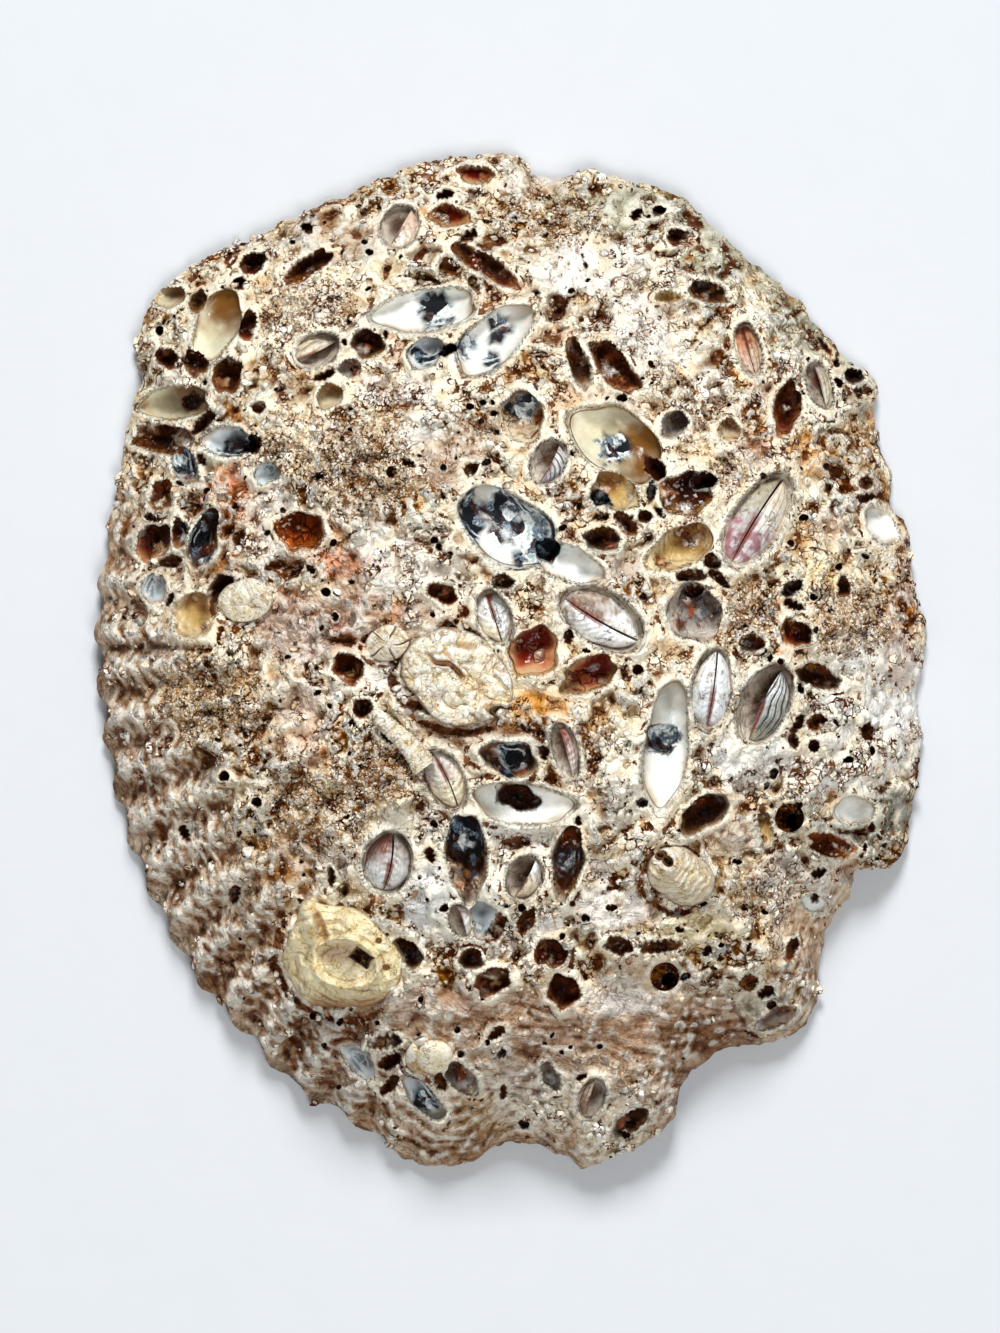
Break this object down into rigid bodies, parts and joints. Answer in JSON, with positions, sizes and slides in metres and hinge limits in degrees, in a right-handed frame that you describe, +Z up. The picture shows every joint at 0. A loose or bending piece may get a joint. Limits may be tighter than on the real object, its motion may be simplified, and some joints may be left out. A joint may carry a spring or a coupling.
{
  "type": "abalone shell",
  "caption": "Large ear-shaped sea shell, dome side up, its back riddled by boring clams and crusted with barnacles and worm tubes, hollow underneath.",
  "frame": {"origin": "middle of the shell's base, in the plane that it rests on", "axes": "+Z up out of the dome, +Y along the shell's length towards the end with the spire, +X towards the side with the breathing pores"},
  "size_m": [0.1644, 0.1998, 0.0534],
  "materials": {
    "shell": "satin",
    "barnacle": "matte",
    "tube": "matte",
    "valve": "satin"
  },
  "bodies": {
    "root": {"abalone_shell": "shell", "barnacle_large": "barnacle", "barnacle_knob": "barnacle", "barnacle_small": "barnacle", "barnacle_plates": "barnacle", "worm_tube": "tube", "worm_tube_cluster": "tube", "worm_tube_mound": "tube", "clam_banded": "valve", "clam_blade_a": "valve", "clam_blade_b": "valve", "clam_green": "valve", "clam_hooded": "valve", "clam_low": "valve", "clam_olive": "valve", "clam_pair_capsule_a": "valve", "clam_pair_capsule_b": "valve", "clam_pair_edge_a": "valve", "clam_pair_edge_b": "valve", "clam_pair_left_a": "valve", "clam_pair_left_b": "valve", "clam_pair_middle_a": "valve", "clam_pair_middle_b": "valve", "clam_pair_right_a": "valve", "clam_pair_right_b": "valve", "clam_pair_window_a": "valve", "clam_pair_window_b": "valve", "clam_pink": "valve", "clam_ringed": "valve", "clam_small": "valve", "clam_striated": "valve"}
  },
  "joints": []
}
